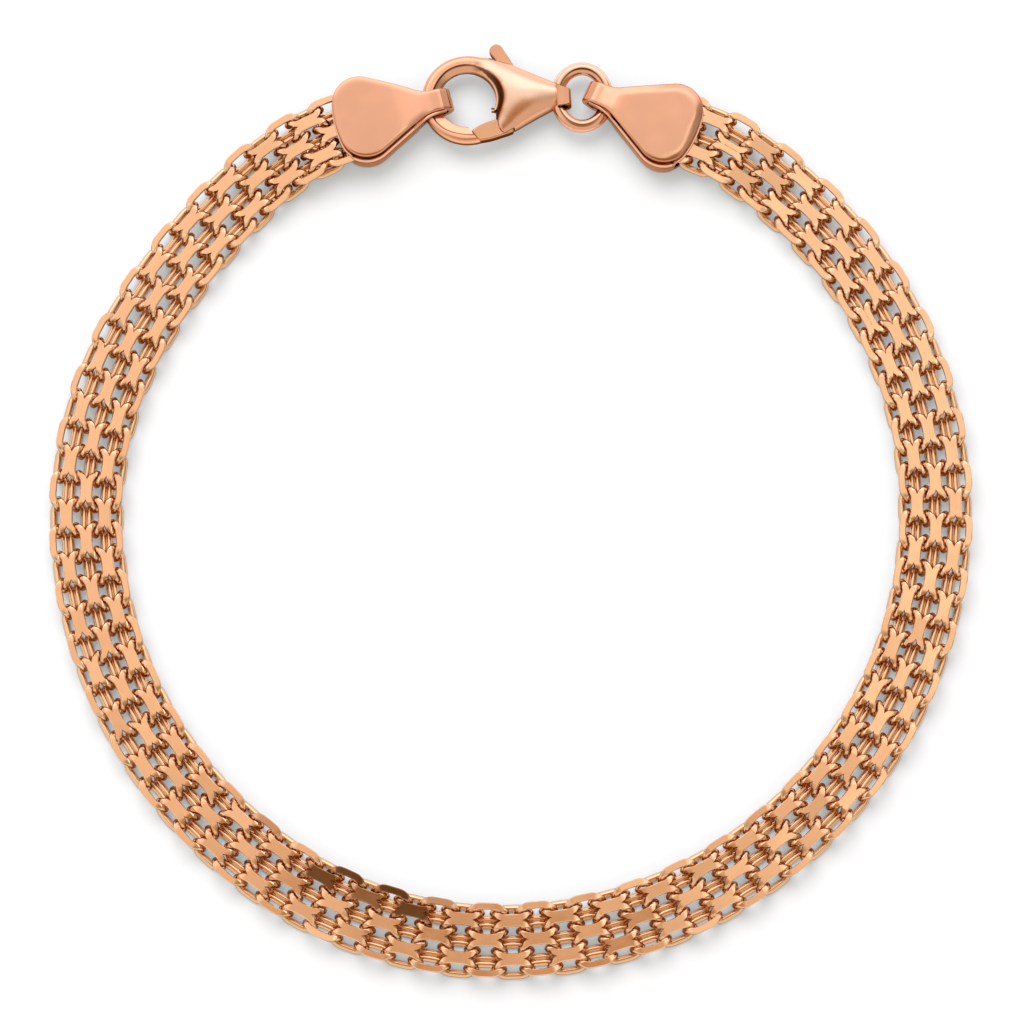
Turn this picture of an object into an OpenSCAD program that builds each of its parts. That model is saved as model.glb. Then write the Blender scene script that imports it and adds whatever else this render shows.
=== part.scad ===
// Flat woven chain bracelet closed by a lobster clasp. It lies on a surface at z = 0, clasp at +Y.
// The band is one solid that follows the middle line of four soldered strands of links.

/* [Chain] */
// width of the band across its four strands
band_w = 4.86; // [4.4:0.02:5]
// thickness of the band
band_h = 1.34; // [1.1:0.02:1.5]
// strands of links side by side
strands = 4; // [2:1:5]
// depth of the groove between two strands
groove = 0.2; // [0.1:0.02:0.26]

/* [Caps] */
// length of a cap from its fold to its wide end
cap_len = 8.1; // [7.9:0.05:8.4]
// height of a cap where it holds the band
cap_h = 2.5; // [2.4:0.05:2.8]
// thickness of the folded sheet
leaf = 0.36; // [0.28:0.02:0.4]
// radius of the fold that grips a ring
fold_r = 0.95; // [0.93:0.01:1.05]
// half width of the neck
neck_w = 0.78; // [0.7:0.02:0.9]
// half width of the wide end
cap_wide = 2.87; // [2.8:0.01:2.95]
// radius of the corners at the wide end
cap_corner = 1.85; // [1.7:0.05:1.9]
// height of the slit between the tray and the lid
slit = 0.12; // [0.06:0.02:0.16]

/* [Clasp] */
// inner radius of the hook
hook_in = 1.91; // [1.85:0.01:1.95]
// outer radius of the hook
hook_out = 3.05; // [3:0.01:3.1]
// height of the hook's section
hook_h = 1.04; // [0.9:0.02:1.06]
// thickness of the lever
lever_t = 0.86; // [0.7:0.02:0.9]
// gap above and below the lever
lever_gap = 0.07; // [0.05:0.01:0.1]
// radius of the pin that the lever turns on
pin_r = 0.3; // [0.25:0.01:0.34]
// radial clearance of the lever on its pin
pin_fit = 0.04; // [0.02:0.01:0.06]

/* [Jump ring] */
// thickness of the wire of the jump ring
wire_d = 0.88; // [0.7:0.02:0.9]
// half width of the ring's middle line
ring_a = 1.68; // [1.66:0.01:1.7]
// half length of the ring's middle line
ring_b = 2; // [1.95:0.01:2.05]

/* [Hidden] */
// a cap's flank angle, the radius of its wide edge and the radius of its hollow neck corners
flank = 28;
end_r = 7.2;
neck_hollow = 2.4;
// height of the plane that the clasp, the rings and the caps share
mid_z = cap_h / 2;
// shift that puts the origin under the middle of the bounding box
centre = [-0.05, -0.52];
// start of the band's middle line inside the right cap: x, y, heading in degrees
START = [10.2, 26.6, -20.2];
// arcs of the middle line, clockwise from the right cap: radius, sweep in degrees
ARCS = [
    [80, 2], [15.7, 12], [28.4, 58], [29.3, 26], [28.9, 58], [25.8, 38],
    [29.5, 51], [25.7, 34], [42.8, 16], [16.9, 26], [150, 0.8]
];
// place of each cap: x and y of its fold, direction of its axis, angle and offset of the band to the axis
LEFT = [-3.9, 28.16, 194.6, 4, 0.04];
RIGHT = [5.1, 28.74, -24.5, 3, 0.14];
// centre of the hook and direction of the clasp
HOOK = [-2.85, 28.1, 3.3];
// centre of the jump ring
RING = [4.84, 28.33];
// pivot of the lever, from the centre of the hook
PIVOT = [2.72, -1.07];
// sections of the clasp's shell: distance from the hook's centre, half width, half height
SHELL = [
    [0.9, 2.95, 0.54], [1.5, 2.83, 0.76], [2.2, 2.58, 1.02], [3, 2.25, 1.18],
    [3.8, 1.9, 1.2], [4.6, 1.52, 1.12], [5.4, 1.15, 0.98], [6.2, 0.78, 0.84]
];
// rings of the band's solid
band_rings = 78;
// the band is raised by this much inside the caps
lift = mid_z - band_h / 2;
// points round a section of the shell
shell_pts = 32;

arc_n = len(ARCS);
function arc_len(i) = ARCS[i][0] * ARCS[i][1] * PI / 180;
function len_before(i) = i == 0 ? 0 : len_before(i - 1) + arc_len(i - 1);
route_len = len_before(arc_n);

// point and heading after d millimetres of an arc of radius r that turns clockwise
function along(p, r, d) =
    let (h = p[2], e = p[2] - d / r * 180 / PI)
    [p[0] + r * sin(h) - r * sin(e), p[1] - r * cos(h) + r * cos(e), e];
function arc_start(i) = i == 0 ? START : along(arc_start(i - 1), ARCS[i - 1][0], arc_len(i - 1));
STARTS = [for (i = [0 : arc_n - 1]) arc_start(i)];
BEFORE = [for (i = [0 : arc_n]) len_before(i)];
function arc_of(s, i = 0) = (i == arc_n - 1 || s <= BEFORE[i + 1]) ? i : arc_of(s, i + 1);
function route(s) = let (i = arc_of(s)) along(STARTS[i], ARCS[i][0], s - BEFORE[i]);

function smooth(t) = let (c = min(max(t, 0), 1)) c * c * (3 - 2 * c);
function raised(s) = lift * (1 - smooth((min(s, route_len - s) - 3.6) / 7));

// half section of the band from its left edge to its right edge: one flat-topped lobe for each strand
lobe = band_w / strands;
flat = lobe * 0.3;
function lobe_top(i) =
    let (c = -band_w / 2 + lobe * (i + 0.5))
    [[c - flat, band_h / 2], [c + flat, band_h / 2]];
function groove_top(i) = [[-band_w / 2 + lobe * i, band_h / 2 - groove]];
TOP = concat(
    [[-band_w / 2, band_h / 2 - 0.42]],
    [for (i = [0 : strands - 1]) each concat(i > 0 ? groove_top(i) : [], lobe_top(i))],
    [[band_w / 2, band_h / 2 - 0.42]]
);
BAND = concat(TOP, [for (i = [len(TOP) - 1 : -1 : 0]) [TOP[i][0], -TOP[i][1]]]);

// closed skin over rings of equal point count; a loop joins its last ring to its first
module skin(rings, loop = false) {
    n = len(rings[0]);
    m = len(rings);
    polyhedron(
        points = [for (r = rings) each r],
        faces = concat(
            loop ? [] : [[for (j = [n - 1 : -1 : 0]) j], [for (j = [0 : n - 1]) (m - 1) * n + j]],
            [for (i = [0 : loop ? m - 1 : m - 2]) for (j = [0 : n - 1]) each
                let (k = (j + 1) % n, a = i * n, b = (i + 1) % m * n)
                [[a + j, b + k, b + j], [a + j, a + k, b + k]]]
        )
    );
}

module chain() {
    color("#d9a07a")
    translate([centre[0], centre[1], 0])
    skin([for (k = [0 : band_rings - 1])
        let (s = route_len * k / (band_rings - 1), p = route(s), z = band_h / 2 + raised(s))
        [for (q = BAND) [p[0] - q[0] * sin(p[2]), p[1] + q[0] * cos(p[2]), z + q[1]]]
    ]);
}

function arc(c, r, from, to, n = 12) =
    [for (i = [0 : n]) let (t = from + (to - from) * i / n) [c[0] + r * cos(t), c[1] + r * sin(t)]];
function mirrored(pts) = [for (i = [len(pts) - 1 : -1 : 0]) [pts[i][0], -pts[i][1]]];

// upper half of a cap's outline from its neck to its wide end, moved in by the inset
function cap_half(inset) =
    let (
        r = cap_corner - inset, w = neck_w - inset, hollow = neck_hollow + inset,
        c1 = cap_wide - cap_corner, reach = end_r - cap_corner,
        turn = asin(c1 / reach), c0 = cap_len - end_r + reach * cos(turn),
        t = [c0 - r * sin(flank), c1 + r * cos(flank)],
        foot = t[0] - (t[1] - w) / tan(flank)
    )
    concat(
        [[inset, w]],
        arc([foot - hollow * tan(flank / 2), w + hollow], hollow, -90, flank - 90, 8),
        arc([c0, c1], r, 90 + flank, turn, 18),
        arc([cap_len - end_r, 0], end_r - inset, turn * 0.75, 0, 3)
    );

// outline of a cap seen from above: fold at u = 0, wide end at u = cap_len
module cap_outline(inset = 0) {
    half = cap_half(inset);
    polygon(concat(half, mirrored([for (i = [0 : len(half) - 2]) half[i]])));
}

// outline of a cap seen from its side, outside for t = 0 and inside for t = leaf
module cap_side(t) {
    r = fold_r - t;
    far = cap_len + 1;
    polygon(concat(
        arc([fold_r, mid_z], r, 90, 270, 18),
        [[2.1, mid_z - r], [3.7, t], [far, t], [far, cap_h - t], [3.7, cap_h - t], [2.1, mid_z + r]]
    ));
}

module upright(w) {
    rotate([90, 0, 0]) translate([0, 0, -w / 2]) linear_extrude(w) children();
}

module slab(h) {
    translate([0, 0, -h]) linear_extrude(3 * h) children();
}

// room inside a cap: its neck is open to both sides, its wide end is open for the band
module cap_room(turn, offset) {
    slab(cap_h) cap_outline(0.3);
    slab(cap_h) translate([0.1, -3]) square([3.1, 6]);
    slab(cap_h) translate([5, offset]) rotate(turn)
        translate([0, -band_w / 2 - 0.08]) square([5, band_w + 0.16]);
}

// folded sheet: a tray with low walls, a lid over it, and the fold that joins them
module cap(place) {
    translate([centre[0] + place[0], centre[1] + place[1], 0]) rotate(place[2])
    difference() {
        intersection() {
            linear_extrude(cap_h) cap_outline();
            upright(8) cap_side(0);
        }
        intersection() {
            cap_room(place[3], place[4]);
            upright(8) cap_side(leaf);
        }
        // slit under the lid
        translate([3.1, -4, cap_h - leaf - slit]) cube([6, 8, slit + 0.02]);
    }
}

module cap_left() {
    color("#eab08a") cap(LEFT);
}

module cap_right() {
    color("#eab08a") cap(RIGHT);
}

// one height between two rows of the shell's table
function lookup_row(w, c, i = 0) =
    (i >= len(SHELL) - 2 || w <= SHELL[i + 1][0])
        ? let (a = SHELL[max(i - 1, 0)], b = SHELL[i], d = SHELL[i + 1],
               e = SHELL[min(i + 2, len(SHELL) - 1)], t = (w - b[0]) / (d[0] - b[0]))
          0.5 * (2 * b[c] + (d[c] - a[c]) * t + (2 * a[c] - 5 * b[c] + 4 * d[c] - e[c]) * t * t
              + (3 * b[c] - a[c] - 3 * d[c] + e[c]) * t * t * t)
        : lookup_row(w, c, i + 1);

function bulge(v, p) = sign(v) * pow(abs(v), p);

// domed shell of the clasp, round both above and below
module shell() {
    first = SHELL[0][0];
    last = SHELL[len(SHELL) - 1][0];
    steps = 18;
    skin([for (k = [0 : steps])
        let (w = first + (last - first) * k / steps, y = lookup_row(w, 1), z = lookup_row(w, 2))
        [for (j = [0 : shell_pts - 1])
            let (a = 360 * j / shell_pts)
            [w, -y * bulge(cos(a), 0.9), mid_z + z * bulge(sin(a), 0.8)]]
    ]);
}

// hook: a ring with a ridge along its middle, open at the lower right
module hook() {
    m = (hook_in + hook_out) / 2;
    b = (hook_out - hook_in) / 2;
    h = hook_h / 2;
    difference() {
        translate([0, 0, mid_z]) rotate([0, 0, 55]) rotate_extrude(angle = 233, $fn = 160)
            polygon([
                [m - b, -h * 0.35], [m - b * 0.55, -h * 0.9], [m, -h], [m + b * 0.6, -h * 0.85],
                [m + b, -h * 0.3], [m + b, h * 0.3], [m + b * 0.6, h * 0.85], [m, h],
                [m - b * 0.55, h * 0.9], [m - b, h * 0.35]
            ]);
        // slanted end that meets the lever
        translate([-0.53, -1.29, 0]) rotate(-54) cube([4, 3, 6], center = false);
    }
}

// room inside the shell that the lever turns in
module lever_room() {
    t = lever_t / 2 + lever_gap;
    translate([0, 0, mid_z - t]) linear_extrude(2 * t) polygon([
        [0.7, -3.4], [3, -3.4], [3.1, -2], [3.65, -1], [4.5, 1.1], [4.75, 3], [4.2, 3.6],
        [1.72, 3.6], [1.9, 2.3], [2.02, 1.2], [1.4, 0], [1.4, -0.6], [0.9, -1.2]
    ]);
}

module clasp_place() {
    translate([centre[0] + HOOK[0], centre[1] + HOOK[1], 0]) rotate(HOOK[2]) children();
}

// hook, shell and bail are cast in one
module clasp_body() {
    color("#e8ab84") clasp_place() {
        difference() {
            union() {
                difference() {
                    union() {
                        hook();
                        shell();
                    }
                    translate([0, 0, -1]) cylinder(r = hook_in, h = 6, $fn = 120);
                }
                // bail that holds the jump ring
                translate([5.9, -0.72, mid_z - 0.8]) cube([1.04, 1.44, 1.6]);
            }
            lever_room();
            // the shell stops where the lever's gate begins
            translate([0, 0, -1]) linear_extrude(6) polygon([
                [0.75, -1.5], [1.86, -1.5], [1.98, -1.75], [2.2, -2.1], [2.5, -2.36], [2.6, -3.4], [0.75, -3.4]
            ]);
            // hole of the bail
            translate([5.44, -2, mid_z - 0.54]) cube([1.32, 4, 1.08]);
            // seats of the pin
            translate([PIVOT[0], PIVOT[1], mid_z - 0.85])
                cylinder(r = pin_r + 0.01, h = 1.7, $fn = 48);
        }
        // end of the lever's spring, held by the floor of the shell
        translate([1.62, -0.71, mid_z - lever_t / 2 - 0.02]) rotate([0, 90, 0])
            cylinder(r = 0.12, h = 0.3, $fn = 24);
    }
}

// gate, arm and thumb tab, from the centre of the hook
LEVER = concat(
    [[0.2, -2.05], [0.76, -2.83], [1.35, -2.78], [2.5, -2.28], [3, -1.7], [3.2, -0.8], [3.2, 2.35]],
    arc([2.12, 3.3], 0.44, 39, 219, 12),
    [[2.3, 2.3], [2.35, 0.6], [2.2, -0.6], [1.8, -1.5]]
);

module clasp_lever() {
    color("#d99b70") clasp_place() translate([0, 0, mid_z - lever_t / 2])
    difference() {
        union() {
            linear_extrude(lever_t) polygon(LEVER);
            translate([PIVOT[0], PIVOT[1], 0]) cylinder(r = 0.7, h = lever_t, $fn = 48);
        }
        translate([PIVOT[0], PIVOT[1], -1]) cylinder(r = pin_r + pin_fit, h = 3, $fn = 48);
    }
}

// short pin, riveted into the floor and the roof of the shell
module clasp_pin() {
    color("#b9835c") clasp_place() translate([PIVOT[0], PIVOT[1], mid_z - 0.83])
        cylinder(r = pin_r, h = 1.66, $fn = 48);
}

// oval ring of round wire
module jump_ring() {
    steps = 48;
    around = 16;
    color("#e3a37a") translate([centre[0] + RING[0], centre[1] + RING[1], mid_z])
    skin([for (k = [0 : steps - 1])
        let (a = -360 * k / steps, n = [ring_b * cos(a), ring_a * sin(a)] / norm([ring_b * cos(a), ring_a * sin(a)]))
        [for (j = [0 : around - 1])
            let (b = 360 * (j + 0.5) / around, r = -wire_d / 2 * cos(b))
            [ring_a * cos(a) + r * n[0], ring_b * sin(a) + r * n[1], wire_d / 2 * sin(b)]]
    ], loop = true);
}

chain();
cap_left();
cap_right();
clasp_body();
clasp_lever();
clasp_pin();
jump_ring();
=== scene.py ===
import math

import bmesh
import bpy
import numpy as np
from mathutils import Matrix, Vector


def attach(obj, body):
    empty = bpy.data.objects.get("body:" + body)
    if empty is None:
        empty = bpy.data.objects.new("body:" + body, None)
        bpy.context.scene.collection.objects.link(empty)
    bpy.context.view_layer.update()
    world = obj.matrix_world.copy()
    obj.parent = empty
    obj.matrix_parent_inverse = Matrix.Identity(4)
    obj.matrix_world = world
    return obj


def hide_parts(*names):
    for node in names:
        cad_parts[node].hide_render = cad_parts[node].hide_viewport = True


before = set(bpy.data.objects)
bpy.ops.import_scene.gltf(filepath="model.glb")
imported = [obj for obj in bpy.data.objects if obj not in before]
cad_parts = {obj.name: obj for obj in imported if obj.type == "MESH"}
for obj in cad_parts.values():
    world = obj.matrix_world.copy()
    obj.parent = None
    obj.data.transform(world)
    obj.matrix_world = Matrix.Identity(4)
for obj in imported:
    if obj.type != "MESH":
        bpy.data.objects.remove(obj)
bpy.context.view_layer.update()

# Lengths below are millimetres of the CAD part; put() turns them into metres.
MM = 0.001
# Shift that brings the bracelet's middle to the part's origin, and the height of its middle plane.
CENTRE = np.array([-0.05, -0.52])
MID_Z = 1.25

# Middle line of the band: start (x, y, heading in degrees) and arcs (radius, sweep in degrees).
START = (10.2, 26.6, -20.2)
ARCS = [
    (80, 2), (15.7, 12), (28.4, 58), (29.3, 26), (28.9, 58), (25.8, 38),
    (29.5, 51), (25.7, 34), (42.8, 16), (16.9, 26), (150, 0.8),
]
BAND_HALF = 0.67
# Near the caps the band is raised: by how much, how far, and over what length it falls.
LIFT = MID_Z - BAND_HALF
LIFT_REACH = 3.6
LIFT_FALL = 7

# Links: half length, radius of the side profile's corners, wire, and the height of the flattened tops.
LINK_HALF = 1.2
LINK_CORNER = 0.53
LINK_RISE = 0.55
WIRE = 0.24
FLAT_Z = 0.67
# Rows of links: place of row 0, pitch, numbers, and the bare ends of the route inside the caps.
ROW_FIRST = 4.817
ROW_PITCH = 3.4169
ROWS = range(-1, 46)
BARE_START = 1.0
BARE_END = 0.9
# Columns of plates across the band, for each kind of row.
COLUMN_PITCH = 1.1
COLUMNS = {0: (-1, 1), 1: (-2, 0, 2)}
# Unevenness of the rows: (row, shift along the band).
ROW_SHIFT = [(-1, 0.1), (8, 0.08), (12, 0.0), (24, 0.0), (29, -0.2), (35, -0.2), (39, 0.2), (41, 0.5),
             (43, 0.34), (44, -0.2), (45, -0.1)]
# Plates that lean towards the camera or away from it: (row, kind, column) and slope.
PLATE_LEAN = {
    (26, 0, -1): 0.05, (25, 1, -2): 0.05, (25, 0, -1): 0.05, (24, 1, -2): 0.05, (24, 0, -1): 0.05,
    (25, 1, 2): -0.045, (18, 1, 2): -0.05,
}
# Plates with painted shade, darker than the others, with how much.
PLATE_SHADE = {
    (26, 0, -1): 0.75, (25, 1, -2): 0.85, (25, 0, -1): 0.5, (24, 1, -2): 0.85, (24, 0, -1): 0.8,
    (27, 1, -2): 0.25, (23, 1, -2): 0.35, (23, 0, -1): 0.2,
}
# Strands from the inside of the loop to the outside: offset, half spread, side of the top in row A.
STRANDS = [
    ("inner_edge", -1.815, 0.375, 1),
    ("inner", -0.63, 0.45, -1),
    ("outer", 0.63, 0.45, 1),
    ("outer_edge", 1.815, 0.375, -1),
]

# Caps: fold x and y, direction of the axis.
CAPS = {"cap_left": (-3.9, 28.16, 194.6), "cap_right": (5.1, 28.74, -24.5)}
CAP_LEN = 8.1
CAP_H = 2.5
LEAF = 0.36
FOLD_R = 0.95
NECK_W = 0.78
CAP_WIDE = 2.87
CAP_CORNER = 1.85
FLANK = math.radians(28)
END_R = 7.2
NECK_HOLLOW = 2.4

# Clasp and jump ring: centre and direction of the hook and of the ring, and their sizes.
HOOK = (-2.85, 28.1, 3.3)
HOOK_IN = 1.91
HOOK_OUT = 3.07
PIVOT = (2.72, -1.07)
PIN_R = 0.3
RING = (4.84, 28.33, 0)
RING_A = 1.68
RING_B = 2.0
RING_WIRE = 0.44


def smooth(t):
    """0 up to t = 0, 1 from t = 1 on, and an eased step between them."""
    c = np.clip(t, 0, 1)
    return c * c * (3 - 2 * c)


def curve(x, table):
    """Smooth curve through the (place, value) rows of a table."""
    xs = np.array([row[0] for row in table], float)
    ys = np.array([row[1] for row in table], float)
    slope = np.gradient(ys, xs)
    x = np.clip(np.asarray(x, float), xs[0], xs[-1])
    i = np.clip(np.searchsorted(xs, x, side="right") - 1, 0, len(xs) - 2)
    h = xs[i + 1] - xs[i]
    t = (x - xs[i]) / h
    return (
        ys[i] * (1 + 2 * t) * (1 - t) ** 2
        + slope[i] * h * t * (1 - t) ** 2
        + ys[i + 1] * t * t * (3 - 2 * t)
        + slope[i + 1] * h * t * t * (t - 1)
    )


def put(points, place=None, lift=0.0):
    """Millimetre points, from a sub-part's own frame (x, y, angle) if given, to metres of the part."""
    p = np.asarray(points, float).copy()
    if place is not None:
        a = math.radians(place[2])
        x = p[..., 0] * math.cos(a) - p[..., 1] * math.sin(a) + place[0]
        y = p[..., 0] * math.sin(a) + p[..., 1] * math.cos(a) + place[1]
        p[..., 0], p[..., 1] = x, y
    p[..., :2] += CENTRE
    p[..., 2] += lift
    return p * MM


# Crispness of the edges in degrees, weld distance and shortest edge in metres.
SHARP = 35
WELD = 2e-7
SHORTEST_EDGE = 1e-8


def smooth_faces(mesh, sharp):
    """Smooth shading, except over edges steeper than sharp degrees."""
    mesh.shade_smooth()
    mesh.set_sharp_from_angle(angle=math.radians(sharp))


def mesh_object(name, points, faces, materials, slots=None, sharp=SHARP):
    """Object from metre points and faces."""
    mesh = bpy.data.meshes.new(name)
    mesh.from_pydata(np.asarray(points).reshape(-1, 3).tolist(), [], [tuple(map(int, f)) for f in faces])
    for m in materials:
        mesh.materials.append(m)
    if slots is not None:
        mesh.polygons.foreach_set("material_index", np.asarray(slots, np.int32))
    mesh.update()
    smooth_faces(mesh, sharp)
    obj = bpy.data.objects.new(name, mesh)
    bpy.context.scene.collection.objects.link(obj)
    return obj


def clean(obj, sharp=SHARP):
    """Welds doubles and turns the faces outwards."""
    bm = bmesh.new()
    bm.from_mesh(obj.data)
    bmesh.ops.remove_doubles(bm, verts=bm.verts, dist=WELD)
    bmesh.ops.dissolve_degenerate(bm, edges=bm.edges, dist=SHORTEST_EDGE)
    bmesh.ops.recalc_face_normals(bm, faces=bm.faces)
    bm.to_mesh(obj.data)
    bm.free()
    smooth_faces(obj.data, sharp)
    return obj


def solid(name, points, faces, material, place, lift=0.0, sharp=SHARP):
    """Clean object from the millimetre points of a sub-part's own frame."""
    points = put(np.reshape(points, (-1, 3)), place, lift)
    return clean(mesh_object(name, points, faces, [material]), sharp)


def grid_faces(rows, columns, tube=False, ring=False):
    """Quads of a grid of points; a tube joins its last column to the first, a ring its last row too."""
    i = np.arange(rows if ring else rows - 1)[:, None]
    j = np.arange(columns if tube else columns - 1)[None, :]
    k, n = (i + 1) % rows, (j + 1) % columns
    quads = [i * columns + j, k * columns + j, k * columns + n, i * columns + n]
    return np.stack(quads, -1).reshape(-1, 4)


def tube_solid(name, rings, material, place, lift=0.0, sharp=SHARP):
    """Solid over a stack of closed rings of points, its two ends closed too."""
    n, m = rings.shape[:2]
    faces = [tuple(f) for f in grid_faces(n, m, tube=True)]
    faces += [tuple(range(m)), tuple(range(n * m - 1, n * m - m - 1, -1))]
    return solid(name, rings, faces, material, place, lift, sharp)


def joined(name, objects):
    """One object from several, with their materials."""
    bpy.ops.object.select_all(action="DESELECT")
    for o in objects:
        o.select_set(True)
    bpy.context.view_layer.objects.active = objects[0]
    bpy.ops.object.join()
    objects[0].name = name
    objects[0].data.name = name
    return objects[0]


def mark(obj, values, name="dark"):
    """Point attribute that the gold materials read.

    dark is painted shade up to 1 in recesses and on sides turned from the light, and painted highlight
    down to -1 on bright edges; soft is what the roughness gains."""
    layer = obj.data.attributes.new(name, "FLOAT", "POINT")
    layer.data.foreach_set("value", np.clip(values, -1, 1).astype(np.float32))


def mark_by(obj, place, lift, rule, name="dark"):
    """Marks by a rule of millimetre points and normals in a sub-part's own frame."""
    count = len(obj.data.vertices)
    points = np.empty(count * 3)
    normals = np.empty(count * 3)
    obj.data.vertices.foreach_get("co", points)
    obj.data.vertices.foreach_get("normal", normals)
    points = points.reshape(-1, 3) / MM - [CENTRE[0] + place[0], CENTRE[1] + place[1], lift]
    a = math.radians(place[2])
    x = points[:, 0] * math.cos(a) + points[:, 1] * math.sin(a)
    y = -points[:, 0] * math.sin(a) + points[:, 1] * math.cos(a)
    mark(obj, rule(np.column_stack([x, y, points[:, 2]]), normals.reshape(-1, 3)), name)


def cut(obj, cutters):
    """Takes the cutters' solids out of obj and removes them."""
    for c in cutters:
        mod = obj.modifiers.new("cut", "BOOLEAN")
        mod.object = c
        mod.operation = "DIFFERENCE"
        mod.solver = "EXACT"
    bpy.context.view_layer.update()
    graph = bpy.context.evaluated_depsgraph_get()
    mesh = bpy.data.meshes.new_from_object(obj.evaluated_get(graph))
    obj.modifiers.clear()
    obj.data = mesh
    for c in cutters:
        bpy.data.objects.remove(c)
    smooth_faces(mesh, SHARP)
    return obj


def arc(x, y, r, first, last, n):
    """Points on an arc between two angles in degrees."""
    return [(x + r * math.cos(a), y + r * math.sin(a)) for a in np.radians(np.linspace(first, last, n))]


# Materials

class Nodes:
    """Short names for building a node tree."""

    # Places of the colour sockets on a Mix node.
    BELOW = 6
    ABOVE = 7
    MIXED = 2

    def __init__(self, tree):
        self.tree = tree

    def feed(self, socket, value):
        """Links a socket to another one, or sets its number, vector or colour."""
        if isinstance(value, bpy.types.NodeSocket):
            self.tree.links.new(value, socket)
        else:
            socket.default_value = (*value, 1) if socket.type == "RGBA" else value

    def feed_all(self, node, values):
        for key, value in values.items():
            self.feed(node.inputs[key], value)

    def add(self, kind, **values):
        """A node with its inputs fed and its settings set."""
        node = self.tree.nodes.new(kind)
        for key, value in values.items():
            if key in node.inputs:
                self.feed(node.inputs[key], value)
            else:
                setattr(node, key, value)
        return node

    def maths(self, operation, *values, kind="ShaderNodeMath", output="Value"):
        node = self.add(kind, operation=operation)
        for socket, value in zip(node.inputs, values):
            self.feed(socket, value)
        return node.outputs[output]

    def noise(self, place, scale, stretch=(1, 1, 1), detail=2.0, roughness=0.5):
        mapping = self.add("ShaderNodeMapping", Vector=place, Scale=[scale * s for s in stretch])
        place = mapping.outputs["Vector"]
        noise = self.add("ShaderNodeTexNoise", Vector=place, Scale=1.0, Detail=detail, Roughness=roughness)
        return noise.outputs["Fac"]

    def ramp(self, value, low, high):
        """Colour from low to high over the middle of a noise's range."""
        ramp = self.add("ShaderNodeValToRGB", Fac=value)
        for element, place, colour in zip(ramp.color_ramp.elements, NOISE_RANGE, (low, high)):
            element.position = place
            element.color = (*colour, 1)
        return ramp.outputs["Color"]

    def mapped(self, value, start, end, low, high, **settings):
        """The value from start to end, mapped to low to high."""
        node = self.add("ShaderNodeMapRange", Value=value, **settings)
        self.feed_all(node, {"From Min": start, "From Max": end, "To Min": low, "To Max": high})
        return node.outputs["Result"]

    def mixed(self, factor, below, above):
        """A colour laid over what is below by the factor."""
        mix = self.add("ShaderNodeMix", data_type="RGBA", Factor=factor)
        self.feed(mix.inputs[self.BELOW], below)
        self.feed(mix.inputs[self.ABOVE], above)
        return mix.outputs[self.MIXED]

    def bump(self, height, distance, **more):
        """The normal bent by a height."""
        node = self.add("ShaderNodeBump", Height=height, Strength=1.0, Distance=distance, **more)
        return node.outputs["Normal"]


def new_material(name):
    """A material, its nodes and its shader."""
    material = bpy.data.materials.new(name)
    material.use_nodes = True
    return material, Nodes(material.node_tree), material.node_tree.nodes["Principled BSDF"]


# The part of a noise's range in use, then waves a metre of the metal's tint, roughness and orange peel.
NOISE_RANGE = (0.3, 0.7)
TINT_WAVES = 260
ROUGH_WAVES = 700
PEEL_WAVES = 1500
TINT_SPREAD = 0.025
# Colours of full painted shade, of full painted shade between the links, of a full painted highlight and
# at grazing angles.
RECESS = (0.13, 0.048, 0.02)
WIRE_RECESS = (0.47, 0.235, 0.115)
HIGHLIGHT_COLOUR = (1.0, 0.76, 0.58)
GRAZING = (0.87, 0.64, 0.5)


def marked_metal(n, shader, colour, matt, recess_tint):
    """Colour and roughness changed by the attributes of mark(): painted shade and painted highlight in the
    colour, painted shade in the reflection's tint.
    """
    dark = n.add("ShaderNodeAttribute", attribute_name="dark").outputs["Fac"]
    soft = n.add("ShaderNodeAttribute", attribute_name="soft").outputs["Fac"]
    highlights = n.maths("MULTIPLY", dark, -1.0)
    colour = n.mixed(dark, n.mixed(highlights, colour, HIGHLIGHT_COLOUR), recess_tint)
    n.feed(shader.inputs["Specular Tint"], n.mixed(dark, GRAZING, recess_tint))
    return colour, n.maths("ADD", matt, soft)


def gold(name, tint, rough, grain, scratches=None, recess_tint=RECESS, marked=True):
    """Rose gold, its tint and its roughness a little uneven.

    grain is the depth of its orange peel, scratches is (along, across, depth) of lines on the UV map,
    recess_tint is the colour of full painted shade, and a marked piece has the painted shade and highlight
    of mark()."""
    material, n, shader = new_material(name)
    n.feed_all(shader, {"Metallic": 1.0, "Specular Tint": GRAZING})
    coordinates = n.add("ShaderNodeTexCoord")
    place = coordinates.outputs["Object"]
    tints = [[c * (1 + spread) for c in tint] for spread in (-TINT_SPREAD, TINT_SPREAD)]
    colour = n.ramp(n.noise(place, TINT_WAVES), *tints)
    matt = n.mapped(n.noise(place, ROUGH_WAVES), *NOISE_RANGE, *rough)
    if marked:
        colour, matt = marked_metal(n, shader, colour, matt, recess_tint)
    normal = n.bump(n.noise(place, PEEL_WAVES), grain)
    if scratches:
        along, across, depth = scratches
        lines = n.noise(coordinates.outputs["UV"], 1.0, (along, across, 1), 3.0, 0.65)
        normal = n.bump(lines, depth, Normal=normal)
    n.feed_all(shader, {"Base Color": colour, "Roughness": matt, "Normal": normal})
    return material


# Copies of one rose gold. Their tints differ partly as painted light: the wires' is paler to look more
# lit, the caps' darker as painted shade.
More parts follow.
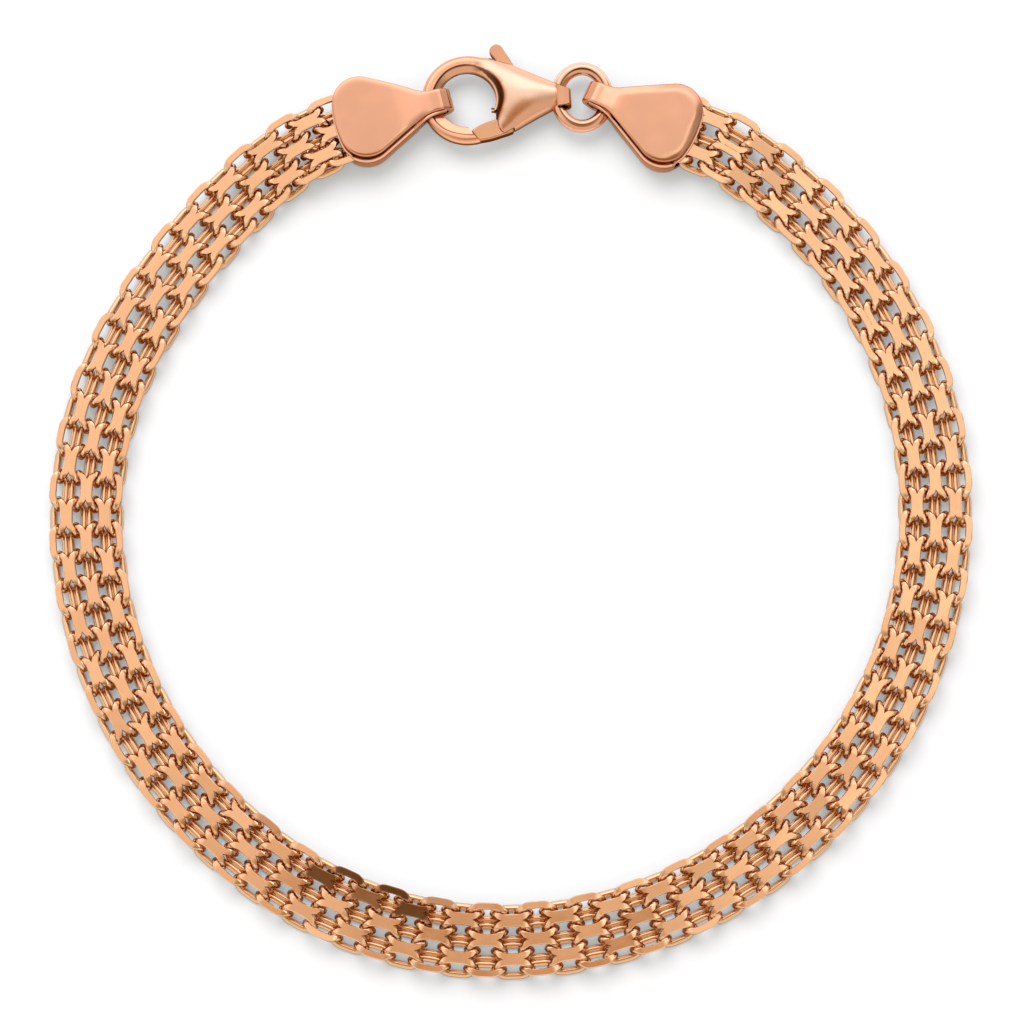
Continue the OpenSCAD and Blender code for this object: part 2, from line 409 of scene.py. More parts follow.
wire_gold = gold("wire_gold", (0.98, 0.62, 0.365), (0.09, 0.15), 1e-7, recess_tint=WIRE_RECESS)
flat_gold = gold("flat_gold", (0.99, 0.53, 0.28), (0.12, 0.2), 1e-7, (0.7, 13, 1.6e-7))
cap_gold = gold("cap_gold", (0.85, 0.42, 0.25), (0.09, 0.15), 2e-7)
cast_gold = gold("cast_gold", (0.91, 0.46, 0.267), (0.09, 0.15), 2e-7)
lever_gold = gold("lever_gold", (0.76, 0.385, 0.203), (0.12, 0.2), 3e-7)
ring_gold = gold("ring_gold", (0.91, 0.47, 0.285), (0.05, 0.09), 1e-7)
pin_gold = gold("pin_gold", (0.8, 0.4, 0.24), (0.2, 0.3), 4e-7, marked=False)


# Chain

def arc_starts():
    """Point, heading and length at the start of each arc of the route, and the whole length."""
    x, y, degrees = START
    h = math.radians(degrees)
    s = 0.0
    starts = []
    for radius, sweep in ARCS:
        starts.append((x, y, h, s))
        e = h - math.radians(sweep)
        x += radius * (math.sin(h) - math.sin(e))
        y += radius * (math.cos(e) - math.cos(h))
        h = e
        s += radius * math.radians(sweep)
    return np.array(starts), s


ARC_STARTS, ROUTE_LENGTH = arc_starts()
RADII = np.array([a[0] for a in ARCS], float)


def route(s):
    """x, y and heading of the band's middle line at the lengths s."""
    i = np.clip(np.searchsorted(ARC_STARTS[:, 3], s, side="right") - 1, 0, len(ARCS) - 1)
    x, y, h, s0 = ARC_STARTS[i].T
    r = RADII[i]
    e = h - (s - s0) / r
    return x + r * (np.sin(h) - np.sin(e)), y + r * (np.cos(e) - np.cos(h)), e


def raised(s):
    """Height of the band above its lowest place, at the lengths s."""
    from_cap = np.minimum(s, ROUTE_LENGTH - s)
    return LIFT * (1 - smooth((from_cap - LIFT_REACH) / LIFT_FALL))


def row_places():
    """Length along the route, row number and row kind (0 for A, 1 for B) of each row of links."""
    b = {k: ROW_FIRST + ROW_PITCH * k + float(curve(k, ROW_SHIFT)) for k in ROWS}
    rows = [(s, k, 1) for k, s in b.items()]
    rows += [((b[k - 1] + s) / 2, k, 0) for k, s in b.items() if k - 1 in b]
    return sorted(row for row in rows if BARE_START < row[0] < ROUTE_LENGTH - BARE_END)


# Stations of a link's middle line: shares of half its flat top, steps of its corner, share of its
# upright. The powers keep its flat narrow and flare its tips.
FLAT_SHARES = np.array([0, 0.42, 0.62, 0.76, 0.88])
CORNER_STEPS = 5
UPRIGHT_SHARE = 0.45
FLARE = (5, 6)


def link_path():
    """A link's closed middle line: x along the band, side from 1 to -1, height; top first."""
    straight = LINK_HALF - LINK_CORNER
    upright = LINK_RISE - LINK_CORNER
    quarter = straight + LINK_CORNER * math.pi / 2 + upright
    turn = np.arange(0, CORNER_STEPS + 1) / CORNER_STEPS * math.pi / 2
    flat = straight * FLAT_SHARES
    station = upright * UPRIGHT_SHARE
    level = [LINK_RISE] * len(flat)
    x = np.concatenate([flat, straight + LINK_CORNER * np.sin(turn), [LINK_HALF]])
    z = np.concatenate([level, LINK_RISE - LINK_CORNER * (1 - np.cos(turn)), [station]])
    s = np.concatenate([flat, straight + LINK_CORNER * turn, [quarter - station]])
    side = (1 - (s / quarter) ** FLARE[0]) ** FLARE[1]
    top = np.stack([x, side, z], 1)
    end = np.array([[LINK_HALF, 0, 0]])
    right = np.concatenate([top, end, (top * [1, -1, -1])[::-1]])
    left = (right * [-1, 1, 1])[::-1]
    return np.concatenate([right, left[1:-1]])


PATH = link_path()
# Points round the wire: the first five span the flat, at these shares of half its turn.
AROUND = 16
FLAT_TURN = np.array([-1, -0.74, 0, 0.74, 1])
# The flat's corners towards the inside of the loop and the outside, by their place round the wire.
INNER_CORNER = 4
OUTER_CORNER = 0
# Half turn of the five points where there's no flat, and the least one of a flat.
UNCUT_TURN = 0.16
CUT_TURN = 0.2
# Points this near to the flat's plane lie on it.
ON_FLAT = 0.004
# Corners of the flats: strength of their painted highlight, and how far they are rounded down.
HIGHLIGHT_STRENGTH = 0.9
WORN_DOWN = 0.03
# The painted shade at the sides of a link's lower half is this share of that on its upper half.
LOW_DARK = 0.55
# Each strand lies this much lower than the one before, so that no two flats share a plane.
STRAND_STEP = 0.0015
TILT_SPREAD = 0.009
RNG = np.random.default_rng(7)


def plate_tilts():
    """Small tilts (along, across) of the plates by (row, kind, column); a plate's two links share one."""
    tilts = {}
    for k in ROWS:
        for kind, columns in COLUMNS.items():
            for column in columns:
                tilts[k, kind, column] = RNG.normal(0, TILT_SPREAD, 2)
    for s, k, kind in row_places():
        heading = float(route(np.array([s]))[2][0])
        for (row, row_kind, column), lean in PLATE_LEAN.items():
            if (row, row_kind) == (k, kind):
                tilts[row, row_kind, column] += lean * np.array([math.sin(heading), math.cos(heading)])
    return tilts


TILTS = plate_tilts()


def wire_frames(spread):
    """A link's middle line, and the two directions across its wire."""
    centre = PATH * [1, spread, 1]
    tangent = np.roll(centre, -1, 0) - np.roll(centre, 1, 0)
    tangent /= np.linalg.norm(tangent, axis=1)[:, None]
    lateral = np.array([0, 1.0, 0]) - tangent[:, 1:2] * tangent
    lateral /= np.linalg.norm(lateral, axis=1)[:, None]
    return centre, lateral, np.cross(tangent, lateral)


def flat_turns(gap, across, outward):
    """Middle of the flat as a turn round the wire, and half its turn, at each station.

    gap is the wire's middle above the flat; across and outward say how the flat's normal leans."""
    half = np.arccos(np.clip(-gap / (WIRE * np.hypot(across, outward)), -1, 1))
    sure = smooth(half / 0.35)
    top = math.pi / 2 + (np.arctan2(outward, across) - math.pi / 2) * sure
    return top, np.maximum(half, UNCUT_TURN)


def wire_turns(top, half):
    """Turns round the wire of each ring's points: the flat's, then the others evenly."""
    flat = FLAT_TURN[None, :] * half[:, None]
    count = AROUND - len(FLAT_TURN) + 1
    rest = half[:, None] + (np.arange(1, count) / count)[None, :] * (math.tau - 2 * half[:, None])
    return top[:, None] + np.concatenate([flat, rest], 1)


def link_surface(spread, tilt, depth, highlights):
    """Points along one link cut flat, which of its quads are flat, and its painted shade and highlight.

    Only the top's flat is tilted. The last argument lists the flat's corners with a painted highlight."""
    centre, lateral, outward = wire_frames(spread)
    up = np.where(centre[:, 2] >= 0, 1.0, -1.0)
    upper = np.where(up > 0, 1.0, 0.0)
    a, b = tilt
    flat = FLAT_Z - depth
    gap = up * centre[:, 2] - flat - upper * (a * centre[:, 0] + b * (centre[:, 1] - spread))
    leans = [up * d[:, 2] - upper * (a * d[:, 0] + b * d[:, 1]) for d in (lateral, outward)]
    top, half = flat_turns(gap, *leans)
    turn = wire_turns(top, half)
    out = np.cos(turn)[..., None] * lateral[:, None] + np.sin(turn)[..., None] * outward[:, None]
    pts = centre[:, None] + WIRE * out
    up, upper = up[:, None], upper[:, None]
    plane = flat + upper * (a * pts[..., 0] + b * (pts[..., 1] - spread))
    # Painted shade where the wire turns steep, weaker on the link's lower half.
    steep = np.where(up * pts[..., 2] > plane - ON_FLAT, 1.0, np.abs(out[..., 2]))
    dark = (1 - smooth((steep - 0.2) / 0.5)) * np.where(up > 0, 1.0, LOW_DARK)
    pts[..., 2] = up * np.minimum(up * pts[..., 2], plane)
    is_cut = half > CUT_TURN
    # Painted highlight on the listed corners of the flat, which are also rounded down a little.
    for corner in highlights:
        dark[is_cut, corner] = -HIGHLIGHT_STRENGTH
        pts[is_cut, corner, 2] -= WORN_DOWN * up[is_cut, 0]
    return pts, is_cut[:, None] & (np.arange(AROUND) < len(FLAT_TURN) - 1)[None, :], dark


def highlight_corners(side, column):
    """Corners of a link's flat that get a painted highlight: the free one of its plate, both where it's
    alone at an edge.
    """
    if abs(column) == max(COLUMNS[1]):
        return INNER_CORNER, OUTER_CORNER
    return (INNER_CORNER,) if side > 0 else (OUTER_CORNER,)


def on_band(points, s, offset):
    """Carries a link's points to the band at the length s, never below the table."""
    x, y, heading = route(np.array([s]))
    c, d = math.cos(heading[0]), math.sin(heading[0])
    slope = raised(s + 0.5) - raised(s - 0.5)
    along = points[..., 0]
    across = points[..., 1] + offset
    height = np.maximum(points[..., 2] + BAND_HALF + raised(s) + slope * along, 0)
    return np.stack([x[0] + along * c - across * d, y[0] + along * d + across * c, height], -1)


def scratch_map(points, s, offset, index):
    """UV of a link's points in millimetres, with brushed lines of its own for each index."""
    across = points[..., 1] + offset + 3 + 0.7 * index
    return np.stack([points[..., 0] + s, across], -1).reshape(-1, 2)


def strand(number, name, offset, half_spread, first_side):
    """One strand of links, all in one mesh."""
    rings = len(PATH)
    quads = grid_faces(rings, AROUND, tube=True, ring=True)[:, ::-1]
    points, faces, slots, maps, darks = [], [], [], [], []
    for index, (s, k, kind) in enumerate(row_places()):
        side = first_side if kind == 0 else -first_side
        spread = side * half_spread
        column = int(round((offset + spread) / COLUMN_PITCH))
        highlights = highlight_corners(side, column)
        surface, is_cut, dark = link_surface(spread, TILTS[k, kind, column], STRAND_STEP * number, highlights)
        # Painted shade on the tops of the darker plates.
        plate_shade = PLATE_SHADE.get((k, kind, column), 0)
        if plate_shade:
            dark = np.maximum(dark, plate_shade * (surface[..., 2] > FLAT_Z - 0.2))
        points.append(put(on_band(surface, s, offset)).reshape(-1, 3))
        faces.append(quads + index * rings * AROUND)
        slots.append((is_cut & np.roll(is_cut, -1, 0)).reshape(-1))
        maps.append(scratch_map(surface, s, offset, index))
        darks.append(dark.reshape(-1))
    faces = np.concatenate(faces)
    slots = np.concatenate(slots).astype(int)
    obj = mesh_object(name, np.concatenate(points), faces, [wire_gold, flat_gold], slots, sharp=24)
    mark(obj, np.concatenate(darks))
    layer = obj.data.uv_layers.new(name="along")
    corners = np.concatenate(maps)[faces.reshape(-1)]
    layer.uv.foreach_set("vector", corners.astype(np.float32).reshape(-1))
    return obj


strands = [strand(i, "chain_" + name, *facts) for i, (name, *facts) in enumerate(STRANDS)]
for piece in strands:
    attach(piece, "bracelet")
    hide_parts("chain")


# Caps

# Edge of a lid: width of its soft part, fall on the right, on the left and at the wide end, crisp radius.
LID_EDGE = {
    "cap_left": (0.5, (0.014, 0.014, 0.0), 0.1),
    "cap_right": (0.75, (0.012, 0.09, 0.045), 0.11),
}
INNER_CRISP = 0.04
TRAY_EDGE = (0.1, (0.02, 0.02, 0.0), 0.1)
# Where a lid rises from the neck: start and length of the slope.
NECK_RISE = {"cap_left": (1.3, 2.6), "cap_right": (0.9, 1.6)}
# Outside of a fold from the lid to its tip: along the axis, height above the middle.
FOLD_LINE = {
    "cap_left": [
        (0.95, 0.95), (0.76, 0.95), (0.7, 0.93), (0.3, 0.65), (0.22, 0.58), (0.05, 0.3), (0, 0),
    ],
    "cap_right": [
        (0.95, 0.95), (0.72, 0.94), (0.56, 0.88), (0.18, 0.56), (0.1, 0.47), (0.02, 0.25), (0, 0),
    ],
}
FOLD_INSIDE = [
    (0.95, 0.59), (0.8, 0.58), (0.72, 0.55), (0.5, 0.38), (0.45, 0.32), (0.38, 0.15), (0.36, 0),
]
# How much painted shade the metal gets where a lid's soft edge leans over.
LEAN_DARK = {"cap_left": 0.0, "cap_right": 0.3}
# How far the lids lie inside the trays' outline, and are pushed back from the camera.
LID_INSET = 0.045
LID_SHIFT = 0.055
WALL_SHIFT = 0.09
# Lateral rows of a leaf: shares of its flat field and of its soft edge, then angles of its crisp corner.
FIELD_SHARES = (0, 0.3, 0.6, 0.85)
SOFT_SHARES = (0, 0.2, 0.4, 0.6, 0.8)
CORNER_ANGLES = (80, 62, 44, 24, 0)
# Past the knee the lateral rows start more and more behind the outline's points.
AXIS_KNEE = 5.2
AXIS_SHARE = 0.55


def cap_half(inset):
    """Upper half of a cap's outline from its neck to its wide end, moved in by the inset."""
    corner = CAP_CORNER - inset
    neck = NECK_W - inset
    hollow = NECK_HOLLOW + inset
    corner_v = CAP_WIDE - CAP_CORNER
    reach = END_R - CAP_CORNER
    turn = math.asin(corner_v / reach)
    end_u = CAP_LEN - END_R
    corner_u = end_u + reach * math.cos(turn)
    flank_end = (corner_u - corner * math.sin(FLANK), corner_v + corner * math.cos(FLANK))
    foot = flank_end[0] - (flank_end[1] - neck) / math.tan(FLANK)
    start = foot - hollow * math.tan(FLANK / 2)
    flank = math.degrees(FLANK)
    pts = [(u, neck) for u in np.linspace(FOLD_R, start, 4)[:-1]]
    pts += arc(start, neck + hollow, hollow, -90, flank - 90, 10)
    u, v = pts[-1]
    for f in np.linspace(0, 1, 8)[1:-1]:
        pts.append((u + (flank_end[0] - u) * f, v + (flank_end[1] - v) * f))
    pts += arc(corner_u, corner_v, corner, 90 + flank, math.degrees(turn), 20)
    pts += arc(end_u, 0, END_R - inset, math.degrees(turn), 0, 8)[1:]
    return np.array(pts)


def lid_top(u, rise):
    """Height of a cap's lid along its axis: the neck is lower than the wide part."""
    return MID_Z + FOLD_R + (CAP_H - MID_Z - FOLD_R) * smooth((u - rise[0]) / rise[1])


def axis_points():
    """Where the lines from the outline's points meet the cap's axis."""
    u = cap_half(0)[:, 0]
    return np.where(u < AXIS_KNEE, u, AXIS_KNEE + (u - AXIS_KNEE) * AXIS_SHARE)


def leaf_rows(inset, soft, falls, corner, side):
    """Lateral rows of half a leaf, axis to edge: points, and fall below the flat field."""
    edge = cap_half(inset + corner) * [1, side]
    axis = np.stack([axis_points(), np.zeros(len(edge))], 1)
    part = np.minimum(soft / np.hypot(*(edge - axis).T), 0.8)
    to_left = smooth((edge[:, 1] / 1.6 + 1) / 2)
    past_fold = smooth((edge[:, 0] - FOLD_R) / 1.6)
    at_end = smooth((edge[:, 0] - 6.4) / 1.2)
    fall = (falls[0] + (falls[1] - falls[0]) * to_left) * past_fold + falls[2] * at_end
    rows = []
    for f in FIELD_SHARES:
        rows.append((axis + (edge - axis) * (f * (1 - part))[:, None], 0 * fall))
    for t in SOFT_SHARES:
        rows.append((axis + (edge - axis) * (1 - part * (1 - t))[:, None], fall * t ** 3))
    for angle in CORNER_ANGLES:
        a = math.radians(angle)
        outline = cap_half(inset + corner * (1 - math.cos(a))) * [1, side]
        rows.append((outline, fall + corner * (1 - math.sin(a))))
    return rows


def leaf_grid(edge, rise=None):
    """Surface of a lid, or of a tray without a rise: stations along the outline by lateral rows."""
    halves = []
    for side in (-1, 1):
        half = []
        for pts, fall in leaf_rows(*edge, side):
            z = lid_top(pts[:, 0], rise) - fall if rise else fall
            half.append(np.column_stack([pts, z]))
        halves.append(np.array(half))
    return np.concatenate([halves[0][:0:-1], halves[1]]).transpose(1, 0, 2)


def fold_grid(section, line):
    """The section at the neck carried along a fold's line, from the lid to the tray."""
    fall = section[:, 2].max() - section[:, 2]
    line = np.array(line)
    line = np.concatenate([line, line[-2::-1] * [1, -1]])
    inward = np.array([FOLD_R, 0]) - line
    inward /= np.linalg.norm(inward, axis=1)[:, None]
    rings = []
    for place, step in zip(line, inward):
        u = place[0] + fall * step[0]
        z = MID_Z + place[1] + fall * step[1]
        rings.append(np.column_stack([u, section[:, 1], z]))
    return np.array(rings)


def leaf_side(edge, rise, line, shift, thickness=0.0):
    """One side of the folded sheet, from the lid's wide end round the fold to the tray's.

    The inner side lies the sheet's thickness below the lid and above the tray's foot."""
    lid = leaf_grid(edge, rise)
    tray = leaf_grid((edge[0], *TRAY_EDGE))
    lid[..., 2] -= thickness
    tray[..., 2] += thickness
    fold = fold_grid(lid[0], line)
    blend = np.linspace(0, 1, len(fold))[:, None]
    fold[..., 1] = fold[..., 1] * (1 - blend) + tray[0][:, 1][None, :] * blend
    away = smooth((lid[..., 0] - 1.2) / 2.5)
    lid[..., :2] += shift * away[..., None]
    tray[..., 2] += (MID_Z - FOLD_R) * smooth((2.9 - tray[..., 0]) / 1.7)
    return np.concatenate([lid[::-1], fold[1:-1], tray])


# Section of the side wall, up to the rim, along a ledge below the lid and back down: out, height share.
WALL = [
    (-0.22, 0.0), (-0.05, 0.1), (0.06, 0.33), (0.1, 0.55), (0.1, 0.86), (0.1, 0.93), (0.085, 0.975),
    (0.05, 1.0), (-0.04, 1.0), (-0.07, 0.975), (-0.26, 0.965), (-0.26, 0.9), (0.0, 0.86), (0.0, 0.5),
    (-0.12, 0.2), (-0.28, 0.02),
]
WALL_OUT = 0.1
WALL_TOP = 2.02
WALL_FOOT = 0.03
# The wall is only a lip at the neck and, within a half width, at the wide end: height and places.
LIP = 0.19
LIP_NECK = 2.0
LIP_END = 6.0
LIP_HALF = 2.24


def cap_wall():
    """Side wall of the tray, full height along the flanks and a lip elsewhere."""
    u, v = cap_half(0).T
    full = smooth((v - LIP_HALF) / 0.1) * (u > LIP_END) + (u <= LIP_END)
    low = WALL_TOP - LIP - (WALL_TOP - LIP - WALL_FOOT) * smooth((u - LIP_NECK) / 0.6) * full
    low = np.append(low[0], low)
    tucked = smooth((u - 6.6) / 0.6) * (1 - full)
    rings = []
    for out, share in WALL:
        line = cap_half(-out) + (cap_half(WALL_OUT - out) - cap_half(-out)) * tucked[:, None]
        line = np.concatenate([[(0.55, line[0, 1])], line])
        half = np.column_stack([line, low + (WALL_TOP - low) * share])
        rings.append(np.concatenate([half, half[-2::-1] * [1, -1, 1]]))
    return np.stack(rings, 1)


def cap_dark(points, normals, lean_dark):
    """Painted shade on a cap's steep sides, and where its lid leans over."""
    u, _, z = points.T
    steep = 1 - smooth((np.abs(normals[:, 2]) - 0.1) / 0.5)
    lean = smooth((0.998 - normals[:, 2]) / 0.03) * smooth((u - 3.5) / 1.5) * (z > 2.2)
    return np.maximum((0.15 + 0.35 * smooth((u - 1.0) / 0.6)) * steep, lean_dark * lean)


def wall_dark(points, normals):
    """Painted highlight on the rim, painted shade in a line below it and a little on the wall, darkest at
    the fold.
    """
    u, _, z = points.T
    below_rim = smooth((z - 1.7) / 0.12) * (1 - smooth((z - 1.9) / 0.08))
    dark = np.where(z > 2.0, -0.5, np.maximum(0.65 * below_rim, 0.1))
    return np.maximum(dark, 0.8 * (1 - smooth((u - 0.8) / 0.9)) - 0.2)


def sheet_faces(rows, columns):
    """Faces of a sheet from its outer and inner grids of points, with its two long edges."""
    count = rows * columns
    grid = grid_faces(rows, columns)
    faces = list(grid) + list(grid[:, ::-1] + count)
    for i in range(rows - 1):
        for j in (0, columns - 1):
            a, b = i * columns + j, (i + 1) * columns + j
            faces.append((a, b, count + b, count + a) if j else (b, a, count + a, count + b))
    return faces


def cap(name, place):
    """Folded end cap: lid, fold and tray from one sheet, and the tray's side wall."""
    angle = math.radians(place[2])
    back = np.array([math.sin(angle), math.cos(angle)])
    soft, falls, crisp = LID_EDGE[name]
    rise = NECK_RISE[name]
    shift = back * LID_SHIFT
    outer = leaf_side((LID_INSET, soft, falls, crisp), rise, FOLD_LINE[name], shift)
    inner = leaf_side((LID_INSET + 0.01, soft, falls, INNER_CRISP), rise, FOLD_INSIDE, shift, LEAF)
    faces = sheet_faces(*outer.shape[:2])
    leaf = solid(name, np.stack([outer, inner]), faces, cap_gold, place, sharp=27)
    mark_by(leaf, place, 0.0, lambda points, normals: cap_dark(points, normals, LEAN_DARK[name]))
    wall = cap_wall()
    wall[..., :2] -= back * WALL_SHIFT
    side = tube_solid(name + "_wall", wall, cap_gold, place, sharp=50)
    mark_by(side, place, 0.0, wall_dark)
    return joined(name + "_sheet", [leaf, side])


for name, place in CAPS.items():
    piece = cap(name, place)
    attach(piece, "bracelet")
    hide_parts(name)


# Clasp, in its own frame: hook centre at the origin, bail towards +x

# Half width and height of the domed shell along x.
FLANK_HALF = [
    (0.9, 2.98), (1.5, 2.91), (2.2, 2.71), (3.0, 2.37), (3.8, 1.94), (4.6, 1.53), (5.4, 1.14), (6.2, 0.77),
]
DOME_HIGH = [
    (0.9, 0.5), (1.5, 0.64), (2.1, 0.84), (2.7, 1.03), (3.3, 1.14), (4.0, 1.17), (4.8, 1.08),
    (5.5, 0.95), (6.2, 0.82),
]
# Crest of the hook's section and top of the dark wall beside the hole: (angle, radius), (angle, height).
CREST_R = [
    (-45, 2.6), (-35, 2.46), (-20, 2.42), (0, 2.45), (18, 2.42), (39, 2.38), (60, 2.38), (90, 2.40),
    (120, 2.42), (158, 2.40), (180, 2.5), (208, 2.70), (225, 2.68), (247, 2.58), (262, 2.55), (280, 2.62),
]
CREST_Z = 0.53
EDGE_Z = [(-45, 0.4), (60, 0.34), (90, 0.2), (150, 0.2), (208, 0.3), (262, 0.36), (280, 0.36)]
BAIL_X = 6.2
# End of the hook, the turn of its cut from the hole to the outline, and where that turn begins.
HOOK_END = 268.2
END_TURN = 15.3
END_EASE = 235
# Line from the hole to the outline where the shell ends at the gate, and where it's eased in.
SHELL_CUT = np.array([
    (1.9, -1.38), (1.95, -1.62), (1.97, -1.9), (2.02, -2.14), (2.16, -2.36), (2.34, -2.5), (2.52, -2.53),
])
CUT_FROM = -30
CUT_EASE = 14
# Steps of a section from the hole's edge up to the crest, and from there to the outline.
RISE_STEPS = (0.2, 0.4, 0.6, 0.72, 0.82, 0.9, 0.96)
CREST_STEPS = 22
# Height of the outline's edge on the hook, and its least height.
HOOK_EDGE = 0.1
THIN_EDGE = 0.06


def outer_radius(theta):
    """Distance from the hook's centre to the clasp's outline."""
    degrees = math.degrees(theta)
    x = np.linspace(FLANK_HALF[0][0], BAIL_X, 400)
    y = curve(x, FLANK_HALF)
    if abs(degrees) < math.degrees(math.atan2(y[-1], BAIL_X)):
        return BAIL_X / math.cos(theta)
    if degrees > 90:
        return HOOK_OUT
    flank = float(np.interp(abs(theta), np.arctan2(y, x)[::-1], np.hypot(x, y)[::-1]))
    blend = smooth((degrees - 52) / 38)
    return flank * (1 - blend) + HOOK_OUT * blend


def dome(x, y):
    """Height of the domed shell above its middle plane."""
    half = curve(x, FLANK_HALF)
    high = curve(x, DOME_HIGH)
    return high * (1 - np.minimum(np.abs(y) / half, 1) ** 2.3) ** 0.46


def shell_share(degrees):
    """1 where the clasp is shell, 0 where it is hook."""
    return 1 - smooth((np.asarray(degrees, float) - 38) / 44)


def section_rise(a, shell):
    """Height of a section at the share a of the way to its crest."""
    hooked = 0.62 * a / 0.82 if a <= 0.82 else 0.62 + 0.38 * (a - 0.82) / 0.18
    return a ** 1.5 * shell + hooked * (1 - shell)


def section_rows(theta, shell, r_out):
    """Radius and height of the upper half of a section, from the hole to the outline."""
    c, s = math.cos(theta), math.sin(theta)
    crest_r = float(curve(math.degrees(theta), CREST_R))
    edge_z = float(curve(math.degrees(theta), EDGE_Z))
    crest_z = float(dome(crest_r * c, crest_r * s)) * shell + CREST_Z * (1 - shell)
    start_r = HOOK_IN + 0.05 + 0.04 * shell
    start_z = edge_z + 0.02
    rows = [(HOOK_IN, 0.0), (HOOK_IN, edge_z * 0.75), (HOOK_IN + 0.03, edge_z), (start_r, start_z)]
    for a in RISE_STEPS:
        up = (crest_z - start_z) * section_rise(a, shell)
        rows.append((start_r + (crest_r - start_r) * a, start_z + up))
    for t in np.linspace(0, math.pi / 2, CREST_STEPS):
        b = math.sin(t)
        r = crest_r + (r_out - crest_r) * b
        hook_z = HOOK_EDGE + (crest_z - HOOK_EDGE) * (1 - b ** 5) ** 0.6
        shell_z = max(float(dome(r * c, r * s)), 0.0)
        z = shell_z * shell + hook_z * (1 - shell)
        rows.append((r, max(z, THIN_EDGE if b == 1 else THIN_EDGE + 0.01)))
    return rows + [(r_out, 0.0)]


def clasp_section(degrees):
    """Points of the upper half of the section on the ray at that angle."""
    theta = math.radians(degrees)
    end_turn = END_TURN * float(smooth((degrees - END_EASE) / (HOOK_END - END_EASE)))
    r_out = outer_radius(theta)
    pts = []
    for r, z in section_rows(theta, float(shell_share(degrees)), r_out):
        a = theta + math.radians(end_turn * (r - HOOK_IN) / (r_out - HOOK_IN))
        pts.append((r * math.cos(a), r * math.sin(a), z))
    return np.array(pts)


def clasp_stations():
    """Angles of the clasp's sections, closest together towards the bail."""
    return np.concatenate([
        np.arange(-44, -12, 2.0), np.arange(-12, 13, 1.0), np.arange(14, 90, 2.0),
        np.arange(90, HOOK_END - 1, 3.0), [HOOK_END],
    ])


def cut_section(top, degrees):
    """Moves a section near the gate's room onto the line where the shell ends."""
    ease = smooth((CUT_FROM - degrees) / CUT_EASE)
    span = np.hypot(*(top[:, :2] - top[0, :2]).T)
    span = span / span[-1]
    places = np.linspace(0, 1, len(SHELL_CUT))
    edge = np.column_stack([np.interp(span, places, SHELL_CUT[:, i]) for i in (0, 1)])
    return np.column_stack([top[:, :2] * (1 - ease) + edge * ease, top[:, 2]])


def clasp_shell():
    """Hook and shell as one tube of sections, mirrored below the middle plane."""
    rings = []
    for degrees in clasp_stations():
        top = clasp_section(degrees)
        if degrees < CUT_FROM:
            top = cut_section(top, degrees)
        rings.append(np.concatenate([top, top[-2:0:-1] * [1, 1, -1]]))
    return tube_solid("shell", np.array(rings), cast_gold, HOOK, MID_Z, sharp=42)


def clasp_dark(points, normals):
    """Painted shade beside the hole, along the hook's crest and on steep outlines; painted highlight
    behind.
    """
    x, y, _ = points.T
    r = np.hypot(x, y)
    degrees = np.degrees(np.arctan2(y, x))
    degrees = np.where(degrees < -60, degrees + 360, degrees)
    shell = shell_share(degrees)
    crest = curve(degrees, CREST_R)
    start = (HOOK_IN + 0.1) * shell + (crest - 0.12) * (1 - shell)
    beyond = smooth((r - crest + 0.03 + 0.08 * shell) / (0.05 + 0.26 * shell))
    band = smooth((r - start) / 0.05) * (1 - beyond) * (0.75 + 0.25 * shell)
    wall = (1 - smooth((r - HOOK_IN - 0.02) / 0.02)) * 0.5
    flatness = np.abs(normals[:, 2])
    steep = 0.6 * (1 - smooth((flatness - 0.06) / 0.2))
    front = 0.4 * shell * (normals[:, 1] < 0) * (1 - smooth((flatness - 0.2) / 0.45))
    dark = np.max([band, wall, steep, front], 0)
    pale = 0.5 * shell * smooth((normals[:, 1] + 0.35) / 0.35) * (normals[:, 2] > 0.3)
    return np.where(x > BAIL_X - 0.3, steep, np.where(dark > 0.03, dark, -pale))


def clasp_soft(points, normals):
    """The domed shell is less sharply polished than the hook."""
    x, y, _ = points.T
    return 0.15 * shell_share(np.degrees(np.arctan2(y, x))) * (np.abs(normals[:, 2]) > 0.3)


# Strap of the bail: start, end, half height and corner of its loop outside and inside.
BAIL_OUTSIDE = (6.0, 6.94, 0.72, 0.3)
BAIL_INSIDE = (6.0, 6.7, 0.54, 0.26)
# Its section: side, share of the way from outside to inside.
BAIL_SECTION = [(-1, 0.25), (-0.92, 0), (0.92, 0), (1, 0.25), (1, 1), (-1, 1)]
# Its taper: start, length, half width, loss of half width, offset to the front and drift.
BAIL_TAPER = (6.1, 0.8, 0.74, 0.19, -0.15, -0.1)


def rounded_loop(x0, x1, z, r, n=7):
    """Rounded rectangle in the x-z plane, as points in order."""
    pts = arc(x1 - r, z - r, r, 90, 0, n) + arc(x1 - r, -z + r, r, 0, -90, n)
    return pts + [(x0, -z), (x0, z)]


def bail():
    """Strap that leaves the shell's end, turns round the jump ring and comes back."""
    start, length, half, loss, offset, drift = BAIL_TAPER
    rings = []
    for (xo, zo), (xi, zi) in zip(rounded_loop(*BAIL_OUTSIDE), rounded_loop(*BAIL_INSIDE)):
        section = []
        for side, f in BAIL_SECTION:
            x = xo + (xi - xo) * f
            t = (x - start) / length
            z = zo + (zi - zo) * f
            root = 0.3 * (6.45 - x) * (1 - f) * (x < 6.8)
            section.append((x, offset + drift * t + side * (half - loss * t), z + math.copysign(root, z)))
        rings.append(section)
    faces = grid_faces(len(rings), len(BAIL_SECTION), tube=True, ring=True)
    return solid("bail", rings, faces, cast_gold, HOOK, MID_Z, sharp=40)


